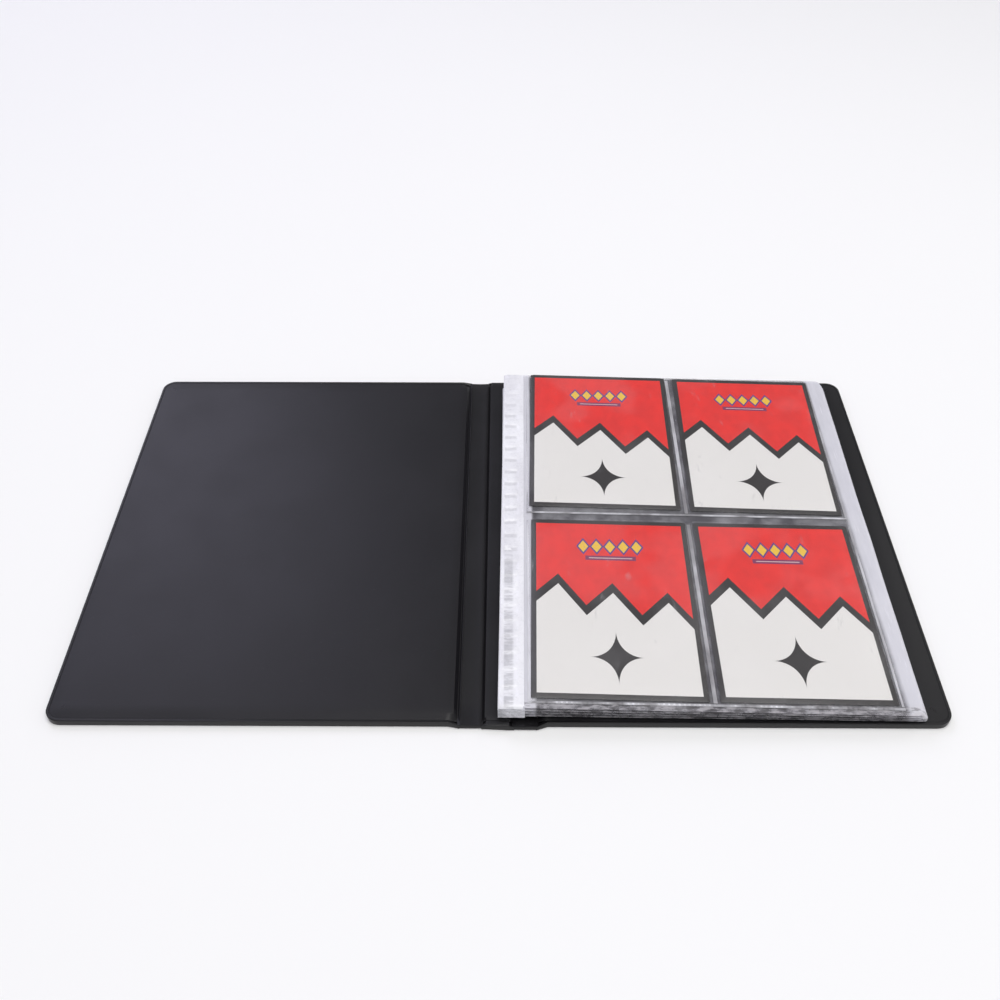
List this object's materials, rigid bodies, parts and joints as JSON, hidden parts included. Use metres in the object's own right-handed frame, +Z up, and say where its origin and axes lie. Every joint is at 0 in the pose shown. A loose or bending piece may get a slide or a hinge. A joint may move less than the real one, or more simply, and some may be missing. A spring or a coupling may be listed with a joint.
{
  "type": "trading card binder",
  "caption": "Slim black card binder lying open, with clear pocket leaves that turn on a ribbed weld strip and sleeved cards in the top leaf's pockets.",
  "frame": {"origin": "on the table, under the middle of the open spread", "axes": "+X to the right across the open spread, from the front cover to the back cover; +Y towards the binder's head, where the pockets open; +Z up from the table"},
  "size_m": [0.341, 0.205, 0.0102],
  "materials": {
    "outer_skin": "satin",
    "lining": "satin",
    "board": "matte",
    "weld_strip": "satin",
    "page_film": "gloss",
    "printed_sleeve": "satin",
    "card_stock": "matte"
  },
  "bodies": {
    "back_cover": {"back_outer_skin": "outer_skin", "back_board": "board", "back_liner": "lining"},
    "spine": {"spine_outer_skin": "outer_skin", "spine_board": "board", "spine_liner": "lining", "back_hinge_web": "outer_skin", "binding_tab": "weld_strip"},
    "front_cover": {"front_outer_skin": "outer_skin", "front_board": "board", "front_liner": "lining", "front_hinge_web": "outer_skin"},
    "page_block": {"binding_strip": "weld_strip"},
    "leaf_01": {"leaf_01_backing": "page_film", "leaf_01_lower_pockets": "page_film", "leaf_01_upper_pockets": "page_film"},
    "leaf_02": {"leaf_02_backing": "page_film", "leaf_02_lower_pockets": "page_film", "leaf_02_upper_pockets": "page_film"},
    "leaf_03": {"leaf_03_backing": "page_film", "leaf_03_lower_pockets": "page_film", "leaf_03_upper_pockets": "page_film"},
    "leaf_04": {"leaf_04_backing": "page_film", "leaf_04_lower_pockets": "page_film", "leaf_04_upper_pockets": "page_film"},
    "leaf_05": {"leaf_05_backing": "page_film", "leaf_05_lower_pockets": "page_film", "leaf_05_upper_pockets": "page_film"},
    "leaf_06": {"leaf_06_backing": "page_film", "leaf_06_lower_pockets": "page_film", "leaf_06_upper_pockets": "page_film"},
    "leaf_07": {"leaf_07_backing": "page_film", "leaf_07_lower_pockets": "page_film", "leaf_07_upper_pockets": "page_film"},
    "leaf_08": {"leaf_08_backing": "page_film", "leaf_08_lower_pockets": "page_film", "leaf_08_upper_pockets": "page_film"},
    "leaf_09": {"leaf_09_backing": "page_film", "leaf_09_lower_pockets": "page_film", "leaf_09_upper_pockets": "page_film"},
    "leaf_10": {"leaf_10_backing": "page_film", "leaf_10_lower_pockets": "page_film", "leaf_10_upper_pockets": "page_film"},
    "lower_left_sleeved_card": {"lower_left_sleeve": "printed_sleeve", "lower_left_card": "card_stock"},
    "lower_right_sleeved_card": {"lower_right_sleeve": "printed_sleeve", "lower_right_card": "card_stock"},
    "upper_left_sleeved_card": {"upper_left_sleeve": "printed_sleeve", "upper_left_card": "card_stock"},
    "upper_right_sleeved_card": {"upper_right_sleeve": "printed_sleeve", "upper_right_card": "card_stock"}
  },
  "joints": [
    {"name": "spine_hinge", "type": "hinge", "parent": "back_cover", "child": "spine", "pos_m": [0.0085, 0, 0.0006], "axis": [0, 1, 0], "range_deg": [0, 90], "deforming": ["back_hinge_web"]},
    {"name": "front_cover_hinge", "type": "hinge", "parent": "spine", "child": "front_cover", "pos_m": [-0.0085, 0, 0.0006], "axis": [0, 1, 0], "range_deg": [0, 90], "deforming": ["front_hinge_web"]},
    {"name": "page_block_fold", "type": "hinge", "parent": "spine", "child": "page_block", "pos_m": [0.0015, 0, 0.003], "axis": [0, -1, 0], "range_deg": [0, 88.4], "deforming": ["binding_tab"]},
    {"name": "leaf_10_turn", "type": "hinge", "parent": "page_block", "child": "leaf_10", "pos_m": [0.011, 0, 0.0103], "axis": [0, 1, 0], "range_deg": [-180, 0]},
    {"name": "leaf_09_turn", "type": "hinge", "parent": "leaf_10", "child": "leaf_09", "pos_m": [0.011, 0, 0.0103], "axis": [0, 1, 0], "range_deg": [-180, 0]},
    {"name": "leaf_08_turn", "type": "hinge", "parent": "leaf_09", "child": "leaf_08", "pos_m": [0.011, 0, 0.0103], "axis": [0, 1, 0], "range_deg": [-180, 0]},
    {"name": "leaf_07_turn", "type": "hinge", "parent": "leaf_08", "child": "leaf_07", "pos_m": [0.011, 0, 0.0103], "axis": [0, 1, 0], "range_deg": [-180, 0]},
    {"name": "leaf_06_turn", "type": "hinge", "parent": "leaf_07", "child": "leaf_06", "pos_m": [0.011, 0, 0.0103], "axis": [0, 1, 0], "range_deg": [-180, 0]},
    {"name": "leaf_05_turn", "type": "hinge", "parent": "leaf_06", "child": "leaf_05", "pos_m": [0.011, 0, 0.0103], "axis": [0, 1, 0], "range_deg": [-180, 0]},
    {"name": "leaf_04_turn", "type": "hinge", "parent": "leaf_05", "child": "leaf_04", "pos_m": [0.011, 0, 0.0103], "axis": [0, 1, 0], "range_deg": [-180, 0]},
    {"name": "leaf_03_turn", "type": "hinge", "parent": "leaf_04", "child": "leaf_03", "pos_m": [0.011, 0, 0.0103], "axis": [0, 1, 0], "range_deg": [-180, 0]},
    {"name": "leaf_02_turn", "type": "hinge", "parent": "leaf_03", "child": "leaf_02", "pos_m": [0.011, 0, 0.0103], "axis": [0, 1, 0], "range_deg": [-180, 0]},
    {"name": "leaf_01_turn", "type": "hinge", "parent": "leaf_02", "child": "leaf_01", "pos_m": [0.011, 0, 0.0103], "axis": [0, 1, 0], "range_deg": [-180, 0]},
    {"name": "lower_left_card_slide", "type": "slide", "parent": "leaf_01", "child": "lower_left_sleeved_card", "axis": [0, 1, 0], "range_m": [0, 0.0045]},
    {"name": "lower_right_card_slide", "type": "slide", "parent": "leaf_01", "child": "lower_right_sleeved_card", "axis": [0, 1, 0], "range_m": [0, 0.0045]},
    {"name": "upper_left_card_slide", "type": "slide", "parent": "leaf_01", "child": "upper_left_sleeved_card", "axis": [0, 1, 0], "range_m": [0, 0.095]},
    {"name": "upper_right_card_slide", "type": "slide", "parent": "leaf_01", "child": "upper_right_sleeved_card", "axis": [0, 1, 0], "range_m": [0, 0.095]}
  ],
  "couplings": [
    {"joint": "spine_hinge", "follows": "page_block_fold", "ratio": 1.018}
  ]
}
